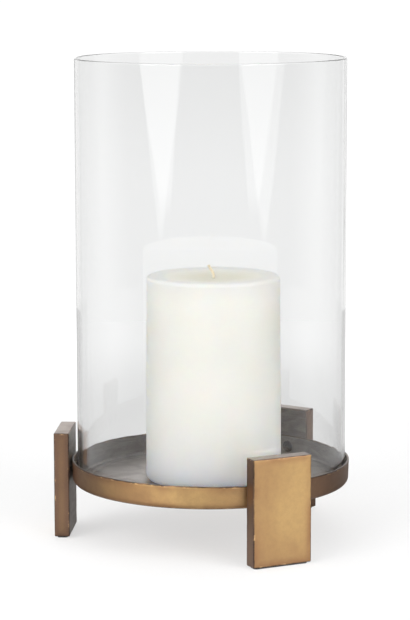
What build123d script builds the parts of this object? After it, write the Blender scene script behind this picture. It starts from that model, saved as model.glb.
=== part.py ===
"""Hurricane candle lantern: a brass tray on three slab legs, a loose glass cylinder and a pillar candle.

Everything is built round the tray's axis, in millimetres, with the table at z = 0 and one leg towards -Y.
The last step slides it along Y, so that the origin is the centre of the footprint on the table.
"""
from build123d import *
import os
from math import asin, cos, degrees, radians, sin, tan

# Tray: a pressed pan with a slightly drafted rim
RIM_R = 105.7          # outside of the rim at its top edge
RIM_TOP = 59.4
TRAY_BOTTOM = 42.0
SHEET = 1.6
DRAFT = 2.0            # degrees, the rim opens upwards
CORNER_R = 3.6         # outside bend between floor and rim
LIP_R = 0.5            # edge break along the top of the rim

# Legs: flat bar standing on end, broad face outwards, with a shallow seat filed to the rim
LEG_AZIMUTHS = {"front": 0, "rear_right": 120, "rear_left": 240}
LEG_W = 47.5
LEG_T = 11.8
LEG_TOP = 81.0
LEG_INNER_R = 105.4
LEG_EDGE_R = 1.0

# Felt pads under the legs
PAD_T = 1.0
PAD_INSET = 2.0
PAD_CORNER_R = 2.0

# Low-head screws, two per leg, driven square to the rim's wall from inside
SCREW_Z = 50.6
SCREW_SIDE = 6.5       # each side of the leg's middle
HEAD_D = 9.0
HEAD_T = 1.0
SHANK_D = 4.0
SHANK_IN_LEG = 7.0
RIM_HOLE_D = 4.4
HEAD_EDGE_R = 0.7
RECESS_L = 5.4         # each arm of the cross, end to end
RECESS_W = 1.1
RECESS_D = 0.6
HEAD_GAP = 0.1         # the flat head bridges the rim's curve

# Glass: open-ended tube standing on the tray's floor, with play inside the rim
GLASS_R = 101.6
GLASS_WALL = 2.0
GLASS_TOP = 362.7
GLASS_FOOT_EDGE_R = 0.95
GLASS_LIP_EDGE_R = 0.9
GLASS_SHIFT = 0.7      # how far off centre it stands

# Pillar candle
CANDLE_FOOT_R = 51.3
CANDLE_TOP_R = 50.2
CANDLE_H = 155.5
CANDLE_FOOT_EDGE_R = 4.0
CANDLE_TOP_EDGE_R = 3.0
DISH_R = 44.0
DISH_DEPTH = 2.4
CANDLE_SHIFT = 2.6

# Wick and the clip that holds its foot
WICK_D = 2.6
WICK_STRAIGHT = 1.5    # above the wax before it bends
WICK_BEND_R = 7.0
WICK_LEAN = 32         # degrees
WICK_TIP = 5.5         # straight run after the bend
CLIP_D = 20.0
CLIP_T = 0.4
CLIP_NECK_D = 4.6
CLIP_NECK_H = 4.0

# Glass and candle both stand a little to one side, towards this azimuth
SHIFT_AZIMUTH = 63.5

# Worked out from the above
FLOOR_Z = TRAY_BOTTOM + SHEET
LEG_OUTER_R = LEG_INNER_R + LEG_T
CANDLE_TOP = FLOOR_Z + CANDLE_H
WICK_EXIT_Z = CANDLE_TOP - DISH_DEPTH
FOOTPRINT_SHIFT = Vector(0, (LEG_OUTER_R - RIM_R) / 2, 0)


def outward(azimuth, distance=1.0):
    """Point at a distance from the axis, with azimuth 0 towards -Y and 90 towards +X."""
    return Vector(sin(radians(azimuth)), -cos(radians(azimuth))) * distance


def turned(shape, azimuth):
    return Rot(0, 0, azimuth) * shape


def rim_outer_r(z):
    return RIM_R - (RIM_TOP - z) * tan(radians(DRAFT))


def rim_inner_r(z):
    return rim_outer_r(z) - SHEET / cos(radians(DRAFT))


def spun(points, rounds):
    """Solid of revolution of an outline of (r, z) points, with some of its corners rounded.

    rounds is a list of (point number, radius).
    """
    with BuildPart() as part:
        with BuildSketch(Plane.XZ):
            with BuildLine():
                Polyline(*points, close=True)
            make_face()
            for index, radius in rounds:
                r, z = points[index]
                corner = min(vertices(), key=lambda v: (v.X - r) ** 2 + (v.Y - z) ** 2)
                fillet(corner, radius)
        revolve(axis=Axis.Z)
    return part.part


def tray_envelope():
    """The tray's outer form, filled in."""
    outline = [
        (0, TRAY_BOTTOM),
        (rim_outer_r(TRAY_BOTTOM), TRAY_BOTTOM),
        (RIM_R, RIM_TOP),
        (0, RIM_TOP),
    ]
    return spun(outline, [(1, CORNER_R)])


def screw_places(azimuth):
    """Where the two screws of a leg sit: on the rim's inner wall, with z pointing out through it."""
    half_angle = degrees(asin(SCREW_SIDE / RIM_R))
    places = []
    for side in (-1, 1):
        direction = outward(azimuth + side * half_angle)
        through = direction * cos(radians(DRAFT)) - Vector(0, 0, sin(radians(DRAFT)))
        seat = direction * rim_inner_r(SCREW_Z) + Vector(0, 0, SCREW_Z)
        along = Vector(0, 0, 1).cross(direction)
        places.append(Plane(origin=seat, x_dir=along, z_dir=through).location)
    return places


def tray():
    outline = [
        (0, TRAY_BOTTOM),
        (rim_outer_r(TRAY_BOTTOM), TRAY_BOTTOM),
        (RIM_R, RIM_TOP),
        (rim_inner_r(RIM_TOP), RIM_TOP),
        (rim_inner_r(FLOOR_Z), FLOOR_Z),
        (0, FLOOR_Z),
    ]
    pan = spun(outline, [(1, CORNER_R), (2, LIP_R), (3, LIP_R), (4, CORNER_R - SHEET)])
    drill_depth = 6 * SHEET
    hole = Cylinder(RIM_HOLE_D / 2, drill_depth)
    for azimuth in LEG_AZIMUTHS.values():
        for place in screw_places(azimuth):
            pan -= place * hole
    return pan


def leg(azimuth):
    height = LEG_TOP - PAD_T
    slab = Box(LEG_W, LEG_T, height)
    slab = fillet(slab.edges(), LEG_EDGE_R)
    slab = Pos(0, -(LEG_INNER_R + LEG_T / 2), PAD_T + height / 2) * slab
    slab = turned(slab, azimuth) - tray_envelope()
    tapped = Cylinder(SHANK_D / 2, SHEET + SHANK_IN_LEG, align=(Align.CENTER, Align.CENTER, Align.MIN))
    for place in screw_places(azimuth):
        slab -= place * tapped
    return slab


def screw():
    """Low-head screw with its head's underside at z = -HEAD_GAP and its shank along +Z."""
    head = Pos(0, 0, -HEAD_GAP - HEAD_T / 2) * Cylinder(HEAD_D / 2, HEAD_T)
    face_edge = head.edges().filter_by(GeomType.CIRCLE).sort_by(Axis.Z)[0]
    head = fillet(face_edge, HEAD_EDGE_R)
    length = HEAD_GAP + SHEET + SHANK_IN_LEG
    rod = Cylinder(SHANK_D / 2, length, align=(Align.CENTER, Align.CENTER, Align.MIN))
    shank = Pos(0, 0, -HEAD_GAP) * rod
    slot = Box(RECESS_L, RECESS_W, 2 * RECESS_D)
    cross = Pos(0, 0, -HEAD_GAP - HEAD_T) * (slot + Rot(0, 0, 90) * slot)
    return head + shank - cross


def leg_screws(azimuth):
    return Compound([place * screw() for place in screw_places(azimuth)])


def foot_pad(azimuth):
    with BuildPart() as pad:
        with BuildSketch():
            RectangleRounded(LEG_W - 2 * PAD_INSET, LEG_T - 2 * PAD_INSET, PAD_CORNER_R)
        extrude(amount=PAD_T)
    return turned(Pos(0, -(LEG_INNER_R + LEG_T / 2), 0) * pad.part, azimuth)


def glass_cylinder():
    outline = [
        (GLASS_R - GLASS_WALL, FLOOR_Z),
        (GLASS_R, FLOOR_Z),
        (GLASS_R, GLASS_TOP),
        (GLASS_R - GLASS_WALL, GLASS_TOP),
    ]
    foot, lip = GLASS_FOOT_EDGE_R, GLASS_LIP_EDGE_R
    tube = spun(outline, [(0, foot), (1, foot), (2, lip), (3, lip)])
    return Pos(*outward(SHIFT_AZIMUTH, GLASS_SHIFT)) * tube


def wick_path():
    """Up the candle's axis from the tray's floor, then over to one side."""
    start = Vector(0, 0, FLOOR_Z)
    bend = Vector(0, 0, WICK_EXIT_Z + WICK_STRAIGHT)
    lean = outward(SHIFT_AZIMUTH + 180)
    turn = radians(WICK_LEAN)
    after = bend + lean * (WICK_BEND_R * (1 - cos(turn))) + Vector(0, 0, WICK_BEND_R * sin(turn))
    halfway = bend + lean * (WICK_BEND_R * (1 - cos(turn / 2))) + Vector(0, 0, WICK_BEND_R * sin(turn / 2))
    tip = after + (lean * sin(turn) + Vector(0, 0, cos(turn))) * WICK_TIP
    return Line(start, bend) + ThreePointArc(bend, halfway, after) + Line(after, tip)


def wick():
    path = wick_path()
    section = Plane(origin=path @ 0, z_dir=(0, 0, 1)) * Circle(WICK_D / 2)
    return sweep(section, path=path)


def wick_clip():
    foot = Cylinder(CLIP_D / 2, CLIP_T, align=(Align.CENTER, Align.CENTER, Align.MIN))
    neck = Cylinder(CLIP_NECK_D / 2, CLIP_NECK_H, align=(Align.CENTER, Align.CENTER, Align.MIN))
    return Pos(0, 0, FLOOR_Z) * (foot + neck)


def candle_block():
    """The wax before the wick and the clip are taken out of it: a drafted pillar with a dished top."""
    rise = (DISH_R ** 2 + DISH_DEPTH ** 2) / (2 * DISH_DEPTH)
    outline = [
        (0, FLOOR_Z),
        (CANDLE_FOOT_R, FLOOR_Z),
        (CANDLE_TOP_R, CANDLE_TOP),
        (0, CANDLE_TOP),
    ]
    pillar = spun(outline, [(1, CANDLE_FOOT_EDGE_R), (2, CANDLE_TOP_EDGE_R)])
    return pillar - Pos(0, 0, WICK_EXIT_Z + rise) * Sphere(rise)


def on_candle_spot(shape):
    return Pos(*outward(SHIFT_AZIMUTH, CANDLE_SHIFT)) * shape


def save(name, shape):
    export_step(Pos(*FOOTPRINT_SHIFT) * shape, f"parts/{name}.step")


os.makedirs("parts", exist_ok=True)
save("tray", tray())
for side, azimuth in LEG_AZIMUTHS.items():
    save(f"leg_{side}", leg(azimuth))
    save(f"screws_leg_{side}", leg_screws(azimuth))
    save(f"foot_pad_{side}", foot_pad(azimuth))
save("glass_cylinder", glass_cylinder())
save("candle_wax", on_candle_spot(candle_block() - wick() - wick_clip()))
save("candle_wick", on_candle_spot(wick()))
save("wick_clip", on_candle_spot(wick_clip() - wick()))
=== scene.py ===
"""Looks of the hurricane candle lantern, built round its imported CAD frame. Metres, table at z = 0."""

from math import cos, hypot, pi, radians, sin, tan

import bmesh
import bpy
from mathutils import Matrix, Vector, noise


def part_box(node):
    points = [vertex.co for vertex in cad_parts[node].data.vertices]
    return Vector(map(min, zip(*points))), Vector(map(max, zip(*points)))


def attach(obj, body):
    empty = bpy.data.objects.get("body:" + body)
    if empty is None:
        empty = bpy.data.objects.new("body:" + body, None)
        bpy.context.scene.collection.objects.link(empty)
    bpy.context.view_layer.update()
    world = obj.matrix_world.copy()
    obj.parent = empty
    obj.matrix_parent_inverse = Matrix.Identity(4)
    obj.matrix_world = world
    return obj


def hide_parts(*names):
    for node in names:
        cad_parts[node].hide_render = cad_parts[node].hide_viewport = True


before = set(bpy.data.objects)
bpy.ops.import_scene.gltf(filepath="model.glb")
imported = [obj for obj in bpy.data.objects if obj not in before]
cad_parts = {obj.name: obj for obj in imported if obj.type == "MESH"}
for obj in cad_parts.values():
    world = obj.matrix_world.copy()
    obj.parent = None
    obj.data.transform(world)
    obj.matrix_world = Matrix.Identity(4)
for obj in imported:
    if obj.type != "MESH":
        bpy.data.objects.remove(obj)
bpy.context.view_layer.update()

MM = 0.001

# The camera, as an azimuth and a distance from the glass's axis. The studio is laid out from the same azimuth,
# as fixed directions, so it stays put when another view moves the camera.
CAMERA_AZIMUTH = -26.5
CAMERA_TURN = 0.14
CAMERA_DISTANCE = 1.855
CAMERA_HEIGHT = 0.4523
CAMERA_PITCH = 8.58
CAMERA_ROLL = -0.12
CAMERA_LENS = 144.2

# Shape details that the boxes of the CAD nodes don't tell
SHEET = 1.6 * MM
RIM_DRAFT = 2.0
TRAY_CORNER_R = 3.6 * MM
SEAT_LINE_R = 93.0 * MM    # a shallow groove pressed round the tray's floor
LIP_R = 0.5 * MM
LEG_EDGE_R = 1.0 * MM
PAD_CORNER_R = 2.0 * MM
GLASS_WALL = 2.0 * MM
GLASS_FOOT_R = 0.95 * MM
GLASS_LIP_R = 0.9 * MM
EDGE_LOOP = 0.3 * MM    # keeps the shading flat up to where a rounded edge begins
CANDLE_TOP_R = 50.2 * MM
CANDLE_FOOT_EDGE_R = 4.0 * MM
CANDLE_TOP_EDGE_R = 3.0 * MM
DISH_R = 44.0 * MM
DISH_DEPTH = 2.4 * MM
WICK_R = 1.3 * MM
WICK_STRAIGHT = 1.5 * MM
WICK_BEND_R = 7.0 * MM
WICK_LEAN = 32
WICK_AZIMUTH = -116.5
WICK_TIP = 5.5 * MM
CLIP_R = 10.0 * MM
CLIP_T = 0.4 * MM
CLIP_NECK_R = 2.3 * MM
CLIP_NECK_H = 4.0 * MM

LEG_TURNS = {"front": 0, "rear_right": 120, "rear_left": 240}
LEG_PITCH = 3.2 * MM

# How far a flat grey-brown colour covers a leg's faces, by (axis across the face, side): the inner face and
# the top
LEG_GREY_COVER = {(1, 1): 1.0, (2, 1): 0.60}

# Points round each turned piece
TRAY_TURNS = 288
GLASS_TURNS = 480
WAX_TURNS = 224
TABLE_TURNS = 128

# Heights over which painted light whitens the wax from its foot up, and painted shade dulls it from its top
# down
PAINTED_LIGHT_FOOT_HEIGHT = 42 * MM
PAINTED_SHADE_TOP_HEIGHT = 16 * MM

# The wick's braid, and the loose fibres at its tip
WICK_STEP = 0.22 * MM
BRAID_PITCH = 4.6 * MM
BRAID_WIDTH = 0.52 * MM
BRAID_DEPTH = 0.28 * MM
STRANDS = 3
STRAND_R = 0.55 * MM
STRAND_SIDES = 10
FRAY_FIBRES = 26
FIBRE_R = 0.07 * MM
GOLDEN_TURN = 0.382     # of a turn between one fibre and the next

# Brass and its patina; the deep brown is also used as painted shade
GOLD = (0.60, 0.39, 0.165)
BROWN = (0.38, 0.215, 0.098)
DEEP_BROWN = (0.190, 0.112, 0.076)
LEG_GOLD = (0.488, 0.318, 0.135)
LEG_BROWN = (0.365, 0.212, 0.096)
EDGE_BROWN = (0.30, 0.150, 0.070)
EDGE_BLACK = (0.050, 0.034, 0.028)
RUBBED_BRASS = (0.72, 0.47, 0.23)
PATINA_DARK = (0.272, 0.234, 0.212)
PATINA_PALE = (0.402, 0.362, 0.334)
PATINA_SPECK = (0.08, 0.065, 0.058)
# the tray is gold towards this azimuth and opposite it, and painted shade turns it deep brown a quarter turn
# round
TRAY_PAINTED_LIGHT_AZIMUTH = -44


# ---------------------------------------------------------------- places

def middle(node):
    """A node's vertical axis, and its lowest and highest point."""
    low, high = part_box(node)
    return Vector(((low[0] + high[0]) / 2, (low[1] + high[1]) / 2, 0)), low[2], high[2]


def outward(azimuth, distance=1.0):
    """Sideways step, with azimuth 0 towards -Y and 90 towards +X."""
    return Vector((sin(radians(azimuth)), -cos(radians(azimuth)), 0)) * distance


# ---------------------------------------------------------------- meshes

def arc(centre_r, centre_z, radius, start, end, steps):
    """Points of an arc in an (r, z) outline, between two angles in degrees."""
    angles = [radians(start + (end - start) * i / steps) for i in range(steps + 1)]
    return [(centre_r + radius * cos(a), centre_z + radius * sin(a)) for a in angles]


def between(a, b, steps):
    """Points inside a straight stretch, without its ends."""
    return [(a[0] + (b[0] - a[0]) * i / steps, a[1] + (b[1] - a[1]) * i / steps) for i in range(1, steps)]


def mesh_object(name, points, faces, marks=None):
    """A smooth closed mesh. marks maps the name of a float attribute to its value at each point."""
    mesh = bpy.data.meshes.new(name)
    mesh.from_pydata([tuple(p) for p in points], [], faces)
    for mark, values in (marks or {}).items():
        mesh.attributes.new(mark, "FLOAT", "POINT").data.foreach_set("value", values)
    work = bmesh.new()
    work.from_mesh(mesh)
    bmesh.ops.remove_doubles(work, verts=work.verts, dist=1e-7)
    bmesh.ops.recalc_face_normals(work, faces=work.faces)
    for face in work.faces:
        face.smooth = True
    work.to_mesh(mesh)
    work.free()
    piece = bpy.data.objects.new(name, mesh)
    bpy.context.scene.collection.objects.link(piece)
    return piece


def lathe(name, outline, centre, turns, warp=None, marks=None):
    """Turn an (r, z) outline round a vertical axis.

    An outline that starts and ends at r = 0 makes a solid, and any other closes on itself as a ring.
    warp(angle, r, z) gives a point's own r and z. marks holds one value for each outline point.
    """
    solid = outline[0][0] == 0 and outline[-1][0] == 0
    points, faces, rings, of_outline = [], [], [], []
    for i, (r, z) in enumerate(outline):
        pole = solid and r == 0
        ring = []
        for j in range(1 if pole else turns):
            angle = 2 * pi * j / turns
            pr, pz = warp(angle, r, z) if warp else (r, z)
            ring.append(len(points))
            points.append((centre.x + pr * cos(angle), centre.y + pr * sin(angle), pz))
            of_outline.append(i)
        rings.append(ring)
    pairs = list(zip(rings, rings[1:]))
    if not solid:
        pairs.append((rings[-1], rings[0]))
    for a, b in pairs:
        for j in range(turns):
            k = (j + 1) % turns
            if len(a) == 1:
                faces.append((a[0], b[j], b[k]))
            elif len(b) == 1:
                faces.append((a[j], b[0], a[k]))
            else:
                faces.append((a[j], b[j], b[k], a[k]))
    spread = {mark: [values[i] for i in of_outline] for mark, values in (marks or {}).items()}
    return mesh_object(name, points, faces, spread)


def side_stops(half, radius, pitch):
    """Positions along one side of a box, close together at its edges."""
    bend = [half - radius + radius * tan(radians(a)) for a in (0, 9, 18, 27, 36, 45)]
    inner = half - radius
    near = [inner - d * MM for d in (0.3, 0.7, 1.3, 2.2) if inner - d * MM > pitch / 2]
    count = max(2, round(2 * near[-1] / pitch))
    flat = [-near[-1] + 2 * near[-1] * i / count for i in range(1, count)]
    positive = sorted(near + bend)
    return [-v for v in reversed(positive)] + flat + positive


def slab(name, size, radius, pitch, place, roughen, patina):
    """A box with rounded edges and the small unevenness of hand work.

    place(local point) gives the point in the scene. The attribute edge_mm holds its distance to an edge, a
    second attribute marks every face but the two broad ones for painted shade, and inside holds how far the
    flat grey-brown colour covers the face.
    """
    half = [s / 2 for s in size]
    stops = [side_stops(h, radius, pitch) for h in half]
    points, faces, edge, painted_shade_faces, covered = [], [], [], [], []
    for across in range(3):
        u_axis, v_axis = [a for a in range(3) if a != across]
        for sign in (-1, 1):
            start = len(points)
            for u in stops[u_axis]:
                for v in stops[v_axis]:
                    outer = [0.0, 0.0, 0.0]
                    outer[across], outer[u_axis], outer[v_axis] = sign * half[across], u, v
                    core = Vector([max(-(h - radius), min(h - radius, o)) for h, o in zip(half, outer)])
                    normal = (Vector(outer) - core).normalized()
                    gap = sorted(h - abs(o) for h, o in zip(half, outer))[1]
                    local = core + normal * (radius + roughen(Vector(outer), gap))
                    points.append(place(local))
                    edge.append(gap / MM)
                    painted_shade_faces.append(float(across != 1))
                    covered.append(patina.get((across, sign), 0.0))
            rows, columns = len(stops[u_axis]), len(stops[v_axis])
            for i in range(rows - 1):
                for j in range(columns - 1):
                    a = start + i * columns + j
                    faces.append((a, a + 1, a + columns + 1, a + columns))
    return mesh_object(name, points, faces, {"edge_mm": edge, "painted_shade_faces": painted_shade_faces, "inside": covered})


def tube(points, radius, sides, taper=1.0):
    """Points and faces of a closed tube along a path, whose radius ends taper times as large."""
    rings, faces = [], []
    side = Vector((1, 0, 0))
    for i, p in enumerate(points):
        ahead = (points[min(i + 1, len(points) - 1)] - points[max(i - 1, 0)]).normalized()
        side = (side - ahead * side.dot(ahead)).normalized()
        up = ahead.cross(side)
        r = radius * (1 + (taper - 1) * i / (len(points) - 1))
        angles = [2 * pi * k / sides for k in range(sides)]
        rings += [p + (side * cos(a) + up * sin(a)) * r for a in angles]
    for i in range(len(points) - 1):
        for k in range(sides):
            a, b = i * sides + k, i * sides + (k + 1) % sides
            faces.append((a, b, b + sides, a + sides))
    faces.append(tuple(reversed(range(sides))))
    faces.append(tuple(len(rings) - sides + k for k in range(sides)))
    return rings, faces


# ---------------------------------------------------------------- shader helpers

class Graph:
    """Short names for the few node kinds that the materials use."""

    def __init__(self, material):
        material.use_nodes = True
        self.tree = material.node_tree
        self.tree.nodes.clear()
        self.out = self.tree.nodes.new("ShaderNodeOutputMaterial")

    def link(self, value, socket):
        if isinstance(value, bpy.types.NodeSocket):
            self.tree.links.new(value, socket)
        else:
            socket.default_value = value

    def node(self, kind, inputs=None, **settings):
        made = self.tree.nodes.new(kind)
        for key, value in settings.items():
            setattr(made, key, value)
        for key, value in (inputs or {}).items():
            self.link(value, made.inputs[key])
        return made

    def math(self, operation, a, b=0.0):
        return self.node("ShaderNodeMath", {0: a, 1: b}, operation=operation).outputs[0]

    def place(self):
        return self.node("ShaderNodeTexCoord").outputs["Object"]

    def mark(self, name):
        return self.node("ShaderNodeAttribute", attribute_name=name).outputs["Fac"]

    def stretched(self, vector, scale):
        return self.node("ShaderNodeMapping", {"Vector": vector, "Scale": scale}).outputs[0]

    def noise(self, vector, scale, detail=3.0, rough=0.55, distortion=0.0):
        inputs = {"Vector": vector, "Scale": scale, "Detail": detail, "Roughness": rough}
        inputs["Distortion"] = distortion
        return self.node("ShaderNodeTexNoise", inputs).outputs["Fac"]

    def span(self, value, low, high, to_low=0.0, to_high=1.0):
        """Map low..high smoothly to to_low..to_high."""
        inputs = {"Value": value, "From Min": low, "From Max": high, "To Min": to_low, "To Max": to_high}
        return self.node("ShaderNodeMapRange", inputs, interpolation_type="SMOOTHSTEP").outputs[0]

    def mix(self, factor, a, b, blend="MIX"):
        made = self.node("ShaderNodeMix", data_type="RGBA", blend_type=blend)
        self.link(factor, made.inputs[0])
        for value, socket in ((a, made.inputs[6]), (b, made.inputs[7])):
            self.link(value if isinstance(value, bpy.types.NodeSocket) else (*value, 1.0), socket)
        return made.outputs[2]

    def bump(self, height, strength, distance, under=None):
        inputs = {"Height": height, "Strength": strength, "Distance": distance}
        if under is not None:
            inputs["Normal"] = under
        return self.node("ShaderNodeBump", inputs).outputs[0]

    def finish(self, **sockets):
        """The Principled shader. A socket's name has _ for each space."""
        shader = self.node("ShaderNodeBsdfPrincipled")
        for key, value in sockets.items():
            socket = shader.inputs[key.replace("_", " ")]
            if isinstance(value, tuple) and len(value) == 3 and socket.type == "RGBA":
                value = (*value, 1.0)
            self.link(value, socket)
        self.tree.links.new(shader.outputs[0], self.out.inputs[0])


def give(piece, material):
    piece.data.materials.clear()
    piece.data.materials.append(material)


# ---------------------------------------------------------------- materials

def aged_brass(name, gold, brown, deep, painted_light_azimuth=None):
    """Satin brass with cloudy patina, a dark line along its edges and bright metal where they are rubbed.

    A round piece is gold on the side of the given azimuth and opposite it, and deep brown a quarter turn away.
    That deep brown is painted shade, matched to the one photo, for the reflection of dark surroundings.
    """
    material = bpy.data.materials.new(name)
    g = Graph(material)
    spot = g.place()
    cloud = g.noise(spot, 13.0, 3.0, 0.5, 0.5)
    blotch = g.noise(spot, 70.0, 4.0, 0.55, 0.3)
    grain = g.noise(spot, 900.0, 2.0, 0.6)
    edge = g.mark("edge_mm")
    tone = g.math("ADD", g.math("MULTIPLY", cloud, 0.8), g.math("MULTIPLY", blotch, 0.2))
    colour = g.mix(g.span(tone, 0.28, 0.62), brown, gold)

    # patina gathers, patchily, along an edge; at the foot of the tray's outer wall this brown is painted shade
    patchy = g.span(g.noise(spot, 32.0, 3.0), 0.36, 0.62, 0.25, 1.0)
    near_edge = g.math("MULTIPLY", g.span(edge, 0.8, 7.0, 0.78, 0.0), patchy)
    colour = g.mix(near_edge, colour, EDGE_BROWN)
    # painted shade: every face of a leg but its two broad ones is turned deep brown
    painted_shade_faces = g.math("MULTIPLY", g.mark("painted_shade_faces"), g.span(edge, 1.0, 5.5, 1.0, 0.80))
    colour = g.mix(painted_shade_faces, colour, deep)
    # painted shade: deep brown a quarter turn round from the given azimuth, standing for dark surroundings in
    # the reflection
    if painted_light_azimuth is not None:
        level = {0: g.stretched(spot, (1.0, 1.0, 0.0))}
        round_about = g.node("ShaderNodeVectorMath", level, operation="NORMALIZE")
        sideways = {0: round_about.outputs[0], 1: outward(painted_light_azimuth + 90)}
        away = g.node("ShaderNodeVectorMath", sideways, operation="DOT_PRODUCT").outputs["Value"]
        away = g.math("ABSOLUTE", away)
        away = g.math("ADD", away, g.math("MULTIPLY", g.math("SUBTRACT", blotch, 0.5), 0.5))
        colour = g.mix(g.span(away, 0.28, 0.95, 0.0, 0.95), colour, deep)
    mottle = g.noise(spot, 260.0, 4.0, 0.6)
    colour = g.mix(g.span(mottle, 0.35, 0.70, 0.0, 0.13), colour, deep)
    colour = g.mix(g.span(grain, 0.35, 0.75, 0.0, 0.14), colour, brown)

    # the lines along the edges wander: the distance to the edge is shifted by noise
    wander = g.math("MULTIPLY", g.math("SUBTRACT", g.noise(spot, 240.0, 5.0, 0.65), 0.5), 1.2)
    ragged = g.math("ADD", edge, wander)
    # the dark line follows the edges; at the foot of the tray's outer wall it is painted shade
    dark_here = g.span(g.noise(spot, 50.0, 3.0), 0.34, 0.58, 0.50, 0.95)
    dark = g.math("MULTIPLY", g.span(ragged, 0.40, 1.10, 1.0, 0.0), dark_here)
    colour = g.mix(dark, colour, EDGE_BLACK)
    rubbed_here = g.span(g.noise(spot, 120.0, 4.0, 0.7), 0.54, 0.66, 0.0, 0.75)
    band = g.math("MULTIPLY", g.span(ragged, 0.5, 0.9), g.span(ragged, 1.1, 1.7, 1.0, 0.0))
    rubbed = g.math("MULTIPLY", band, rubbed_here)
    colour = g.mix(rubbed, colour, RUBBED_BRASS)

    # the tray's inside has a flat grey-brown patina, streaked and spotted, and the legs' inner and top faces
    # take the same flat grey-brown
    streak = g.noise(g.stretched(spot, (1.0, 1.0, 4.0)), 38.0, 5.0, 0.6, 1.2)
    patina = g.mix(g.span(streak, 0.35, 0.65), PATINA_DARK, PATINA_PALE)
    patina = g.mix(g.span(grain, 0.55, 0.75, 0.0, 0.35), patina, PATINA_SPECK)
    within = g.math("MULTIPLY", g.mark("inside"), g.math("SUBTRACT", 1.0, g.math("MAXIMUM", rubbed, dark)))
    colour = g.mix(within, colour, patina)
    metal = g.span(within, 0.0, 1.0, 0.95, 0.65)
    rough = g.span(blotch, 0.3, 0.7, 0.42, 0.52)
    fine = g.bump(grain, 0.10, 0.0002)
    normal = g.bump(blotch, 0.20, 0.0006, fine)
    g.finish(
        Base_Color=colour, Metallic=metal, Roughness=rough, Normal=normal,
        Coat_Weight=0.25, Coat_Roughness=0.30, Coat_IOR=1.5,
    )
    return material


def clear_glass():
    """Drawn glass: almost smooth, with long soft waves up its wall and a faint film of dust."""
    material = bpy.data.materials.new("clear_glass")
    g = Graph(material)
    spot = g.place()
    wave = g.noise(g.stretched(spot, (1.0, 1.0, 0.12)), 30.0, 2.0, 0.5)
    film = g.noise(spot, 14.0, 4.0, 0.6)
    g.finish(
        Base_Color=(0.992, 0.995, 0.994), Roughness=g.span(film, 0.45, 0.8, 0.0, 0.03), IOR=1.5,
        Transmission_Weight=1.0, Normal=g.bump(wave, 0.12, 0.0015),
    )
    return material


def ivory_wax():
    """Dense matt wax that light sinks into, faintly cloudy.

    It has painted light, whiter at the foot, and painted shade, duller round the top edge, which matches the
    photo in this studio's light.
    """
    material = bpy.data.materials.new("ivory_wax")
    g = Graph(material)
    spot = g.place()
    cloud = g.noise(spot, 45.0, 4.0, 0.55, 0.4)
    speck = g.noise(spot, 420.0, 3.0, 0.6)
    colour = g.mix(g.span(cloud, 0.3, 0.7), (0.875, 0.875, 0.825), (0.893, 0.893, 0.850))
    colour = g.mix(g.span(speck, 0.62, 0.75, 0.0, 0.25), colour, (0.95, 0.95, 0.93))
    # painted light whitens the foot of the wax, and painted shade dulls it round the top edge
    colour = g.mix(g.span(g.mark("foot"), 0.0, 1.0), colour, (0.965, 0.963, 0.930))
    colour = g.mix(g.span(g.mark("shoulder"), 0.0, 1.0), colour, (0.815, 0.815, 0.785))
    colour = g.mix(g.math("MULTIPLY", g.mark("dish"), 0.82), colour, (0.75, 0.72, 0.57))
    height = g.math("ADD", cloud, g.math("MULTIPLY", speck, 0.12))
    g.finish(
        Base_Color=colour, Roughness=g.span(cloud, 0.3, 0.7, 0.42, 0.55), IOR=1.44,
        Subsurface_Weight=1.0, Subsurface_Radius=(1.0, 0.85, 0.65), Subsurface_Scale=0.028,
        Normal=g.bump(height, 0.05, 0.0006),
    )
    return material


def cotton():
    """Braided cotton, with a fine grain along its fibres."""
    material = bpy.data.materials.new("cotton")
    g = Graph(material)
    spot = g.place()
    fibre = g.noise(g.stretched(spot, (1.0, 1.0, 0.3)), 2600.0, 3.0, 0.6)
    colour = g.mix(g.span(fibre, 0.3, 0.7), (0.78, 0.64, 0.42), (0.93, 0.87, 0.74))
    g.finish(Base_Color=colour, Roughness=0.8, Normal=g.bump(fibre, 0.6, 0.0001))
    return material


def felt():
    material = bpy.data.materials.new("felt")
    g = Graph(material)
    spot = g.place()
    fibre = g.noise(spot, 1500.0, 4.0, 0.7, 1.5)
    colour = g.mix(g.span(fibre, 0.3, 0.7), (0.030, 0.026, 0.024), (0.085, 0.075, 0.068))
    g.finish(Base_Color=colour, Roughness=0.95, Sheen_Weight=0.4, Normal=g.bump(fibre, 0.8, 0.0002))
    return material


def dark_steel():
    """Blackened screws, mottled a little lighter and darker."""
    material = bpy.data.materials.new("dark_screw")
    g = Graph(material)
    spot = g.place()
    mottle = g.noise(spot, 700.0, 4.0, 0.6)
    colour = g.mix(g.span(mottle, 0.35, 0.7), (0.045, 0.038, 0.034), (0.13, 0.11, 0.10))
    g.finish(Base_Color=colour, Metallic=1.0, Roughness=g.span(mottle, 0.3, 0.7, 0.35, 0.55),
             Normal=g.bump(mottle, 0.15, 0.0001))
    return material


def tinplate():
    material = bpy.data.materials.new("tinplate")
    g = Graph(material)
    spot = g.place()
    rolled = g.noise(g.stretched(spot, (1.0, 12.0, 1.0)), 400.0, 3.0, 0.6)
    colour = g.mix(g.span(rolled, 0.3, 0.7), (0.42, 0.42, 0.41), (0.62, 0.62, 0.60))
    g.finish(Base_Color=colour, Metallic=1.0, Roughness=g.span(rolled, 0.3, 0.7, 0.25, 0.4),
             Normal=g.bump(rolled, 0.1, 0.00005))
    return material


# ---------------------------------------------------------------- tray and legs

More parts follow.
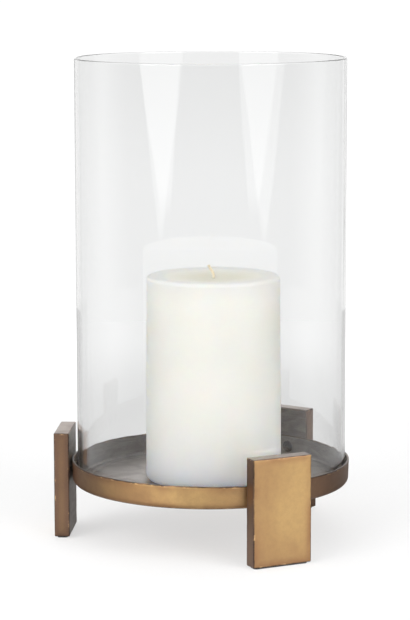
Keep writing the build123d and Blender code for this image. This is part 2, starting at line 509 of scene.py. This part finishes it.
def tray_forms():
    """The rim's outer radius at a height, and the shared centre of the bends between floor and rim."""
    centre, low, high = middle("tray")
    box_low, box_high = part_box("tray")
    rim_r = (box_high[0] - box_low[0]) / 2
    lean = tan(radians(RIM_DRAFT))

    def outer(z):
        return rim_r - (high - z) * lean

    bend_r = outer(low) + TRAY_CORNER_R * lean - TRAY_CORNER_R / cos(radians(RIM_DRAFT))
    return centre, low, high, outer, bend_r


def make_tray(material):
    centre, low, high, outer, bend_r = tray_forms()
    bend_z = low + TRAY_CORNER_R
    floor = low + SHEET
    wall = SHEET / cos(radians(RIM_DRAFT))
    lip_z = high - LIP_R
    outer_lip = outer(high) - LIP_R
    inner_lip = outer(high) - wall + LIP_R

    outside = [(0.0, low)] + between((0.0, low), (bend_r, low), 16)
    outside += arc(bend_r, bend_z, TRAY_CORNER_R, -90, -RIM_DRAFT, 8)
    outside += between(outside[-1], (outer(lip_z), lip_z), 8)
    outside += arc(outer_lip, lip_z, LIP_R, -RIM_DRAFT, 90, 4)
    inside = arc(inner_lip, lip_z, LIP_R, 90, 180 - RIM_DRAFT, 4)
    bend = arc(bend_r, bend_z, TRAY_CORNER_R - SHEET, -RIM_DRAFT, -90, 8)
    inside += between(inside[-1], bend[0], 8) + bend
    groove = ((0.7, 0), (0.2, 0.35), (-0.2, 0.35), (-0.7, 0))
    seat_line = [(SEAT_LINE_R + aside * MM, floor - depth * MM) for aside, depth in groove]
    inside += between((bend_r, floor), seat_line[0], 5) + seat_line
    inside += between(seat_line[-1], (0.0, floor), 28) + [(0.0, floor)]
    outline = outside + inside

    # edge distances run down from the lip and, on the outer wall, also up from the tray's foot, where the dark
    # edge line and brown are painted shade
    edge = [(high - z) / MM if r < bend_r else min(high - z, z - low) / MM for r, z in outside]
    edge += [(high - z) / MM for _, z in inside]
    within = [0.0] * (len(outside) + 2) + [1.0] * (len(inside) - 2)

    def hand_spun(angle, r, z):
        """The rim is a little out of round and wavy."""
        swing = Vector((cos(angle), sin(angle), 0))
        up = max(0.0, (z - bend_z) / (high - bend_z))
        r += 0.14 * MM * (noise.noise(swing * 1.7 + Vector((0, 0, 5))) - 1) * min(1.0, r / bend_r)
        r += 0.05 * MM * (noise.noise(swing * 7.0) - 1) * min(1.0, r / bend_r)
        z += 0.22 * MM * (noise.noise(swing * 2.5 + Vector((0, 0, 9))) - 0.6) * up
        z += 0.06 * MM * (noise.noise(swing * 16.0) - 0.6) * up
        return max(r, 0.0), z

    piece = lathe("tray_pan", outline, centre, TRAY_TURNS, hand_spun, {"edge_mm": edge, "inside": within})
    give(piece, material)
    return piece


def make_leg(name, turn, material):
    """A slab in front of the tray, turned round the tray's axis to its own side."""
    low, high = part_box("leg_front")
    size = [high[i] - low[i] for i in range(3)]
    centre, _, rim_top, outer, _ = tray_forms()
    seat = Vector([(low[i] + high[i]) / 2 for i in range(3)]) - centre
    swing = Matrix.Rotation(radians(turn), 3, "Z")

    def roughen(p, gap):
        q = p + Vector((turn, turn, 0))
        swell = 0.08 * MM * (noise.noise(q * 28.0) - 1.0)
        nick = 0.10 * MM * (noise.noise(q * 210.0) - 1.0) * max(0.0, 1 - gap / (2.5 * MM))
        return swell + nick

    def place(local):
        p = local + seat
        reach = hypot(p.x, p.y)
        if p.z < rim_top and reach < outer(p.z) and p.y < 0:
            p.y = -((outer(p.z) ** 2 - p.x ** 2) ** 0.5)
        return swing @ p + centre

    piece = slab(name, size, LEG_EDGE_R, LEG_PITCH, place, roughen, LEG_GREY_COVER)
    give(piece, material)
    return piece


def make_pad(name, turn, material):
    """A felt strip whose cut edge is pressed out a little by the weight."""
    low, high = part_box("foot_pad_front")
    centre = middle("tray")[0]
    seat = Vector(((low[0] + high[0]) / 2, (low[1] + high[1]) / 2, 0)) - centre
    swing = Matrix.Rotation(radians(turn), 3, "Z")
    half_w, half_d = (high[0] - low[0]) / 2, (high[1] - low[1]) / 2
    rim = []
    for cx, cy, start in ((1, 1, 0), (-1, 1, 90), (-1, -1, 180), (1, -1, 270)):
        corner = (cx * (half_w - PAD_CORNER_R), cy * (half_d - PAD_CORNER_R))
        rim += arc(corner[0], corner[1], PAD_CORNER_R, start, start + 90, 8)
    levels = [(0.0, -0.25), (0.2, -0.05), (0.5, 0.0), (0.8, -0.05), (1.0, -0.25)]
    points, faces = [], []
    for level, pull in levels:
        for x, y in rim:
            reach = hypot(x, y)
            spot = Vector((x, y, level * MM)) * 1500.0 + Vector((turn, 0, 0))
            fray = pull * MM + 0.1 * MM * noise.noise(spot)
            k = 1 + fray / reach
            z = low[2] + level * (high[2] - low[2])
            points.append(swing @ (seat + Vector((x * k, y * k, z))) + centre)
    count = len(rim)
    for i in range(len(levels) - 1):
        for j in range(count):
            k = (j + 1) % count
            faces.append((i * count + j, i * count + k, (i + 1) * count + k, (i + 1) * count + j))
    faces.append(tuple(range(count)))
    faces.append(tuple((len(levels) - 1) * count + j for j in range(count)))
    piece = mesh_object(name, points, faces)
    give(piece, material)
    return piece


# ---------------------------------------------------------------- glass

def make_glass(material):
    centre, low, high = middle("glass_cylinder")
    box_low, box_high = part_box("glass_cylinder")
    r = (box_high[0] - box_low[0]) / 2
    inner = r - GLASS_WALL
    outline = arc(inner + GLASS_FOOT_R, low + GLASS_FOOT_R, GLASS_FOOT_R, 180, 270, 6)
    outline += arc(r - GLASS_FOOT_R, low + GLASS_FOOT_R, GLASS_FOOT_R, 270, 360, 6)
    outer_wall = [(r, low + GLASS_FOOT_R + EDGE_LOOP), (r, high - GLASS_LIP_R - EDGE_LOOP)]
    inner_wall = [(inner, z) for _, z in reversed(outer_wall)]
    outline += outer_wall[:1] + between(*outer_wall, 40) + outer_wall[1:]
    outline += arc(r - GLASS_LIP_R, high - GLASS_LIP_R, GLASS_LIP_R, 0, 90, 8)
    outline += arc(inner + GLASS_LIP_R, high - GLASS_LIP_R, GLASS_LIP_R, 90, 180, 8)
    outline += inner_wall[:1] + between(*inner_wall, 40) + inner_wall[1:]

    def drawn(angle, pr, z):
        """The wall's thickness and roundness drift slowly round the tube."""
        swing = Vector((cos(angle), sin(angle), 0))
        inside = 1.0 if pr < r - GLASS_WALL / 2 else 0.0
        drift = noise.noise(swing * 2.2 + Vector((0, 0, z * 3.0 + 4.0 * inside)))
        streak = noise.noise(swing * 9.0 + Vector((0, 0, z * 1.2 + 8.0 * inside)))
        return pr - (0.10 * (drift + 1) * inside + 0.03 * streak) * MM, z

    piece = lathe("glass_tube", outline, centre, GLASS_TURNS, drawn)
    give(piece, material)
    return piece


# ---------------------------------------------------------------- candle

def make_wax(material):
    centre, low, high = middle("candle_wax")
    box_low, box_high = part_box("candle_wax")
    foot_r = (box_high[0] - box_low[0]) / 2
    top_r = CANDLE_TOP_R
    dish_sphere = (DISH_R ** 2 + DISH_DEPTH ** 2) / (2 * DISH_DEPTH)
    floor_of_dish = high - DISH_DEPTH

    def dish(r):
        return floor_of_dish + dish_sphere - (dish_sphere ** 2 - r ** 2) ** 0.5

    outline = [(WICK_R, low + CLIP_NECK_H), (CLIP_NECK_R, low + CLIP_NECK_H), (CLIP_NECK_R, low + CLIP_T)]
    outline += [(CLIP_R, low + CLIP_T), (CLIP_R, low)]
    outline += between((CLIP_R, low), (foot_r - CANDLE_FOOT_EDGE_R, low), 8)
    outline += arc(foot_r - CANDLE_FOOT_EDGE_R, low + CANDLE_FOOT_EDGE_R, CANDLE_FOOT_EDGE_R, 270, 360, 10)
    shoulder = high - CANDLE_TOP_EDGE_R
    outline += between((foot_r, low + CANDLE_FOOT_EDGE_R), (top_r, shoulder), 44)
    outline += arc(top_r - CANDLE_TOP_EDGE_R, shoulder, CANDLE_TOP_EDGE_R, 0, 90, 8)
    sides = len(outline)
    steps = 22
    for i in range(1, steps + 1):
        r = DISH_R + (WICK_R - DISH_R) * i / steps
        outline.append((r, dish(r)))
    # wax creeps up the wick a little, then the bore for the wick goes down to the clip
    outline[-1] = (WICK_R, dish(WICK_R) + 0.5 * MM)
    hollow = [0.0] * sides + [min(1.0, 1.6 * (DISH_R - r) / DISH_R) for r, _ in outline[sides:]]

    def poured(angle, r, z):
        """Moulded wax is slightly out of true, and its top settles unevenly as it cools."""
        swing = Vector((cos(angle), sin(angle), 0))
        if r > CLIP_R + MM and z < high - 6 * MM:
            r += 0.35 * MM * noise.noise(swing * 1.6 + Vector((0, 0, z * 14.0)))
            r += 0.02 * MM * noise.noise(swing * 9.0 + Vector((0, 0, z * 90.0)))
        elif r > 3 * MM and z > high - 6 * MM:
            calm = min(1.0, (r - 3 * MM) / (8 * MM))
            z += calm * 0.55 * MM * noise.noise(swing * r * 38.0 + Vector((7, 3, 0)))
            z += calm * 0.10 * MM * noise.noise(swing * r * 160.0)
            z = min(z, high)
        return r, z

    # how far the painted light at the foot and the painted shade round the top edge reach
    foot = [max(0.0, 1.0 - (z - low) / PAINTED_LIGHT_FOOT_HEIGHT) for _, z in outline]
    near_top = [max(0.0, 1.0 - (high - z) / PAINTED_SHADE_TOP_HEIGHT) for _, z in outline]
    painted_shade_shoulders = [share if r > DISH_R - 6 * MM else 0.0 for share, (r, _) in zip(near_top, outline)]
    marks = {"dish": hollow, "foot": foot, "shoulder": painted_shade_shoulders}
    piece = lathe("wax_pillar", outline, centre, WAX_TURNS, poured, marks)
    give(piece, material)
    return piece


def wick_line(centre, low, exit_z, lean_azimuth):
    """The wick's middle: straight up the candle, then over to one side."""
    lean = outward(lean_azimuth)
    bend_z = exit_z + WICK_STRAIGHT
    line = [centre + Vector((0, 0, low + (bend_z - low) * i / 60)) for i in range(60)]
    for i in range(13):
        a = radians(WICK_LEAN) * i / 12
        rise = Vector((0, 0, bend_z + WICK_BEND_R * sin(a)))
        line.append(centre + lean * WICK_BEND_R * (1 - cos(a)) + rise)
    along = lean * sin(radians(WICK_LEAN)) + Vector((0, 0, cos(radians(WICK_LEAN))))
    last = line[-1]
    line += [last + along * WICK_TIP * i / 14 for i in range(1, 15)]
    return line


def resample(line, spacing):
    """The same path with evenly spaced points."""
    out, left = [line[0]], spacing
    for a, b in zip(line, line[1:]):
        length, done = (b - a).length, 0.0
        while length - done >= left:
            done += left
            out.append(a.lerp(b, done / length))
            left = spacing
        left -= length - done
    return out


def make_wick(material):
    """Three braided strands, each of twisted yarn, that fray at the tip."""
    centre, low, _ = middle("candle_wax")
    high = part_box("candle_wax")[1][2]
    line = resample(wick_line(centre, low, high - DISH_DEPTH, WICK_AZIMUTH), WICK_STEP)
    across = outward(WICK_AZIMUTH + 180)
    points, faces = [], []
    for strand in range(STRANDS):
        path = []
        for i, p in enumerate(line):
            ahead = (line[min(i + 1, len(line) - 1)] - line[max(i - 1, 0)]).normalized()
            wide = (across - ahead * across.dot(ahead)).normalized()
            deep = ahead.cross(wide)
            phase = 2 * pi * (i * WICK_STEP / BRAID_PITCH + strand / STRANDS)
            path.append(p + wide * BRAID_WIDTH * sin(phase) + deep * BRAID_DEPTH * sin(2 * phase))
        body, skin = tube(path, STRAND_R, STRAND_SIDES)
        for i, q in enumerate(body):
            ring, k = divmod(i, STRAND_SIDES)
            middle_of_ring = path[ring]
            ply = 1 + 0.13 * cos(3 * (2 * pi * k / STRAND_SIDES) + ring * 0.55)
            body[i] = middle_of_ring + (q - middle_of_ring) * ply
        faces += [tuple(n + len(points) for n in face) for face in skin]
        points += body
    tip, before = line[-1], line[-6]
    ahead = (tip - before).normalized()
    for n in range(FRAY_FIBRES):
        swing = 2 * pi * n * GOLDEN_TURN
        start = tip + (across * cos(swing) + ahead.cross(across) * sin(swing)) * (0.15 + 0.028 * n) * MM
        start -= ahead * 0.5 * MM
        stray = (ahead + (start - tip).normalized() * 0.5).normalized()
        length = (0.8 + 0.9 * abs(noise.noise(Vector((n * 3.7, 1.3, 0.2))))) * MM
        curl = ahead.cross(stray) * length * 0.5
        fibre = [start + stray * length * t + curl * t * t for t in (0, 0.25, 0.5, 0.75, 1)]
        body, skin = tube(fibre, FIBRE_R, 5, taper=0.4)
        faces += [tuple(m + len(points) for m in face) for face in skin]
        points += body
    piece = mesh_object("wick_braid", points, faces)
    give(piece, material)
    return piece


# ---------------------------------------------------------------- studio

# The table's own glow, and how far it takes over from the light that falls on it
TABLE_SEEN, TABLE_SEEN_SHARE = 1.35, 0.43
TABLE_THROUGH, TABLE_THROUGH_SHARE = 0.80, 0.70
TABLE_FRONT, TABLE_SIDE = 0.65, 0.20

AMBIENT = 0.10
AMBIENT_ABOVE = 0.30
SWEEP_SIDE = 0.70
OVERHEAD = 0.5
FRONT_FILL = 0.9
BACKDROP, BACKDROP_LOW = 0.95, 0.82
SIDE_LIGHT = 0.9
ON_MATT = 1.03

# Soft boxes, in degrees: the azimuth of the middle and the half width, at and above SOFTBOX_LEVEL
# and at the foot of the box, and the elevation of that foot. Then their strength near the foot.
SOFTBOXES = (((-43.3, 18.7), (-38.7, 5.4), -6.2, 0.90), ((44.8, 20.2), (45.9, 1.9), -6.9, 0.78))
SOFTBOX_LEVEL = -2.8
SOFTBOX_HIGH = 5.3

# Elevation, in degrees, below which the world takes its lower values
WORLD_LOW = -2.6

# The world seen through the glass, near the table and above it, and seen directly
SWEEP_NEAR_TABLE, SWEEP_ABOVE = 1.0, 0.93
SKY_SEEN = 1.05


def make_camera():
    axis = middle("glass_cylinder")[0]
    data = bpy.data.cameras.new("camera")
    data.lens = CAMERA_LENS
    data.sensor_width = 36.0
    data.clip_start, data.clip_end = 0.05, 50.0
    camera = bpy.data.objects.new("camera", data)
    bpy.context.scene.collection.objects.link(camera)
    spot = axis + outward(CAMERA_AZIMUTH, CAMERA_DISTANCE) + Vector((0, 0, CAMERA_HEIGHT))
    heading = Matrix.Rotation(radians(CAMERA_AZIMUTH + CAMERA_TURN), 4, "Z")
    tilt = Matrix.Rotation(radians(90 - CAMERA_PITCH), 4, "X")
    roll = Matrix.Rotation(radians(CAMERA_ROLL), 4, "Z")
    camera.matrix_world = Matrix.Translation(spot) @ heading @ tilt @ roll
    bpy.context.scene.camera = camera


def make_floor():
    """A plain pale table top. It isn't a physical surface: its own glow depends on the kind of ray.

    Seen directly it lifts the shadows, and seen through the glass it has a glow of its own. In reflections
    it dims outwards on the side that the photo was taken from, and elsewhere it is dim near the part and
    lighter beyond.
    """
    outline = [(0.0, -0.02), (1.19, -0.02), (1.20, -0.015), (1.20, -0.005), (1.19, 0.0), (0.0, 0.0)]
    floor = lathe("table", outline, middle("tray")[0], TABLE_TURNS)
    material = bpy.data.materials.new("table_white")
    g = Graph(material)
    spot = g.place()
    fine = g.noise(spot, 300.0, 3.0)
    colour = g.mix(g.span(fine, 0.3, 0.7), (0.59, 0.59, 0.59), (0.61, 0.61, 0.61))
    reach = g.node("ShaderNodeVectorMath", {0: spot}, operation="LENGTH").outputs["Value"]
    path = g.node("ShaderNodeLightPath").outputs
    seen = path["Is Camera Ray"]
    matted = g.math("GREATER_THAN", path["Diffuse Depth"], 0.5)
    unless_matted = g.math("SUBTRACT", path["Glossy Depth"], g.math("MULTIPLY", matted, 99.0))
    mirrored = g.math("GREATER_THAN", unless_matted, 0.5)
    through = g.math("SUBTRACT", g.math("SUBTRACT", g.math("SUBTRACT", 1.0, seen), matted), mirrored)
    far = g.span(reach, 0.30, 1.10)
    front = outward(CAMERA_AZIMUTH)
    forward = g.node("ShaderNodeVectorMath", {0: spot, 1: front}, operation="DOT_PRODUCT").outputs["Value"]
    facing = g.math("DIVIDE", forward, reach)
    in_front = g.span(facing, 0.0, 0.5)
    at_front = g.span(reach, 0.35, 1.00, TABLE_FRONT, AMBIENT)
    at_side = g.span(reach, 0.30, 0.40, TABLE_SIDE, SWEEP_SIDE)
    glint = g.math("ADD", at_side, g.math("MULTIPLY", in_front, g.math("SUBTRACT", at_front, at_side)))
    kinds = (
        (seen, TABLE_SEEN, g.span(far, 0.15, 1.0, TABLE_SEEN_SHARE, 0.85)),
        (through, g.span(far, 0.0, 1.0, TABLE_THROUGH, 1.0), g.span(far, 0.0, 1.0, TABLE_THROUGH_SHARE, 1.0)),
        (mirrored, glint, 1.0),
    )
    strength, share = 0.0, 0.0
    for ray, glow, part in kinds:
        strength = g.math("ADD", strength, g.math("MULTIPLY", ray, glow))
        share = g.math("ADD", share, g.math("MULTIPLY", ray, part))
    matt = g.node("ShaderNodeBsdfDiffuse", {"Color": colour})
    glow = g.node("ShaderNodeEmission", {"Strength": strength})
    both = g.node("ShaderNodeMixShader", {0: share, 1: matt.outputs[0], 2: glow.outputs[0]})
    g.tree.links.new(both.outputs[0], g.out.inputs[0])
    give(floor, material)


def make_light():
    """One soft world in fixed directions: ceiling, fill, two tall soft boxes, backdrop and side light.

    That is what bounced rays meet. Seen directly the world is plain white. Seen through the glass it is
    a pale sweep, a little darker above than near the table.
    """
    world = bpy.data.worlds.new("studio")
    bpy.context.scene.world = world
    world.use_nodes = True
    tree = world.node_tree
    tree.nodes.clear()

    def node(kind, inputs=None, **settings):
        made = tree.nodes.new(kind)
        for key, value in settings.items():
            setattr(made, key, value)
        for key, value in (inputs or {}).items():
            if isinstance(value, bpy.types.NodeSocket):
                tree.links.new(value, made.inputs[key])
            else:
                made.inputs[key].default_value = value
        return made

    def math(operation, a, b=0.0):
        return node("ShaderNodeMath", {0: a, 1: b}, operation=operation).outputs[0]

    def step(value, low, high, to_low=0.0, to_high=1.0):
        inputs = {"Value": value, "From Min": low, "From Max": high, "To Min": to_low, "To Max": to_high}
        return node("ShaderNodeMapRange", inputs, interpolation_type="SMOOTHSTEP").outputs[0]

    def ramp(angle, low, high, to_low=0.0, to_high=1.0):
        """A step between two angles in degrees."""
        return step(angle, radians(low), radians(high), to_low, to_high)

    # turned by the photo's fixed azimuth, so that x points to the right in it, y away and z up
    direction = node("ShaderNodeTexCoord").outputs["Generated"]
    turned = node("ShaderNodeVectorRotate", {"Vector": direction, "Angle": -radians(CAMERA_AZIMUTH)},
                  rotation_type="Z_AXIS").outputs[0]
    parts = node("ShaderNodeSeparateXYZ", {0: turned})
    x, y, z = parts.outputs
    azimuth = math("ARCTAN2", x, math("MULTIPLY", y, -1.0))
    aside = math("ABSOLUTE", azimuth)
    elevation = math("ARCSINE", z)

    light = math("MULTIPLY", ramp(elevation, 42, 66), OVERHEAD)
    in_front = ramp(aside, 30, 55, 1.0, 0.0)
    fill = math("MULTIPLY", in_front, ramp(elevation, 2, 14, 0.0, FRONT_FILL))
    light = math("MAXIMUM", light, fill)
    backdrop = ramp(elevation, WORLD_LOW, 0, BACKDROP_LOW, BACKDROP)
    light = math("MAXIMUM", light, math("MULTIPLY", ramp(aside, 134, 152), backdrop))
    below = math("MULTIPLY", ramp(aside, 65, 110), ramp(elevation, WORLD_LOW, -2.2, 1.0, 0.0))
    light = math("MAXIMUM", light, math("MULTIPLY", below, SWEEP_SIDE - AMBIENT))
    left = math("MULTIPLY", ramp(azimuth, -125, -100), ramp(azimuth, -75, -60, 1.0, 0.0))
    left = math("MULTIPLY", left, ramp(elevation, 0, 10, 0.0, SIDE_LIGHT))
    light = math("MAXIMUM", light, left)
    for above, foot, foot_level, low in SOFTBOXES:
        up = node("ShaderNodeMapRange", {"Value": elevation, "From Min": radians(foot_level),
                                         "From Max": radians(SOFTBOX_LEVEL)}).outputs[0]
        widening = [(radians(f), radians(a - f)) for a, f in zip(above, foot)]
        centre, half = (math("ADD", start, math("MULTIPLY", up, change)) for start, change in widening)
        across = math("DIVIDE", math("ABSOLUTE", math("SUBTRACT", azimuth, centre)), half)
        box = math("MULTIPLY", step(across, 0.92, 1.04, 1.0, 0.0), ramp(elevation, 42, 48, 1.0, 0.0))
        box = math("MULTIPLY", box, ramp(elevation, foot_level - 0.5, foot_level + 0.5))
        box = math("MULTIPLY", box, ramp(elevation, WORLD_LOW, 1, low, SOFTBOX_HIGH))
        light = math("MAXIMUM", light, box)
    light = math("ADD", light, ramp(elevation, -2.4, 0, AMBIENT, AMBIENT_ABOVE))

    path = node("ShaderNodeLightPath")
    bounced = math("ADD", path.outputs["Diffuse Depth"], path.outputs["Glossy Depth"])
    unbounced = math("LESS_THAN", bounced, 0.5)
    on_matt = math("GREATER_THAN", path.outputs["Diffuse Depth"], 0.5)
    light = math("MULTIPLY", light, math("ADD", 1.0, math("MULTIPLY", on_matt, ON_MATT - 1.0)))
    sweep = ramp(elevation, -6, -2.5, SWEEP_NEAR_TABLE, SWEEP_ABOVE)
    by_kind = {0: path.outputs["Is Camera Ray"], 2: sweep, 3: SKY_SEEN}
    straight = node("ShaderNodeMix", by_kind, data_type="FLOAT").outputs[0]
    strength = node("ShaderNodeMix", {0: unbounced, 2: light, 3: straight}, data_type="FLOAT").outputs[0]
    background = node("ShaderNodeBackground", {"Color": (1, 1, 1, 1), "Strength": strength})
    output = node("ShaderNodeOutputWorld")
    tree.links.new(background.outputs[0], output.inputs[0])
    bpy.context.scene.view_settings.view_transform = "Standard"


# ---------------------------------------------------------------- putting it together

def stand_for(piece, node, body):
    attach(piece, body)
    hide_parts(node)


make_camera()
make_floor()
make_light()

leg_brass = aged_brass("leg_brass", LEG_GOLD, LEG_BROWN, DEEP_BROWN)
tray_brass = aged_brass("tray_brass", GOLD, BROWN, DEEP_BROWN, painted_light_azimuth=TRAY_PAINTED_LIGHT_AZIMUTH)
pad_felt = felt()
screw_steel = dark_steel()

stand_for(make_tray(tray_brass), "tray", "stand")
for side, turn in LEG_TURNS.items():
    stand_for(make_leg(f"leg_slab_{side}", turn, leg_brass), f"leg_{side}", "stand")
    stand_for(make_pad(f"felt_pad_{side}", turn, pad_felt), f"foot_pad_{side}", "stand")
    give(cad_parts[f"screws_leg_{side}"], screw_steel)
stand_for(make_glass(clear_glass()), "glass_cylinder", "glass")
stand_for(make_wax(ivory_wax()), "candle_wax", "candle")
stand_for(make_wick(cotton()), "candle_wick", "candle")
give(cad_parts["wick_clip"], tinplate())
